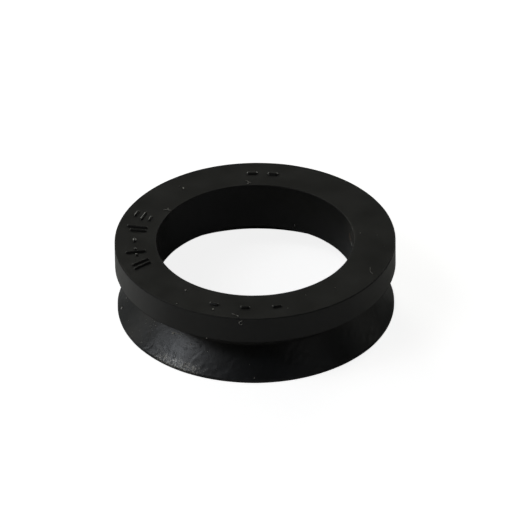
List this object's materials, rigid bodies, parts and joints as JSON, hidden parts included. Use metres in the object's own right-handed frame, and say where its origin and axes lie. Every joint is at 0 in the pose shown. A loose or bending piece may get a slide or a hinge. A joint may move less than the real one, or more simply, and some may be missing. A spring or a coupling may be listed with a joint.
{
  "type": "v ring seal",
  "caption": "One-piece rubber V-ring that is stretched onto a shaft and seals with a thin cone-shaped lip against a flat face.",
  "frame": {"origin": "on the ring's axis, in the plane of the lip's sealing edge, which the ring rests on", "axes": "+Z along the shaft's axis, from the sealing lip to the flat back face; the ring is round, so +X and +Y are free"},
  "size_m": [0.026, 0.026, 0.0072],
  "materials": {
    "nitrile_rubber": "matte, as moulded"
  },
  "bodies": {
    "root": {"v_ring": "nitrile_rubber"}
  },
  "joints": []
}
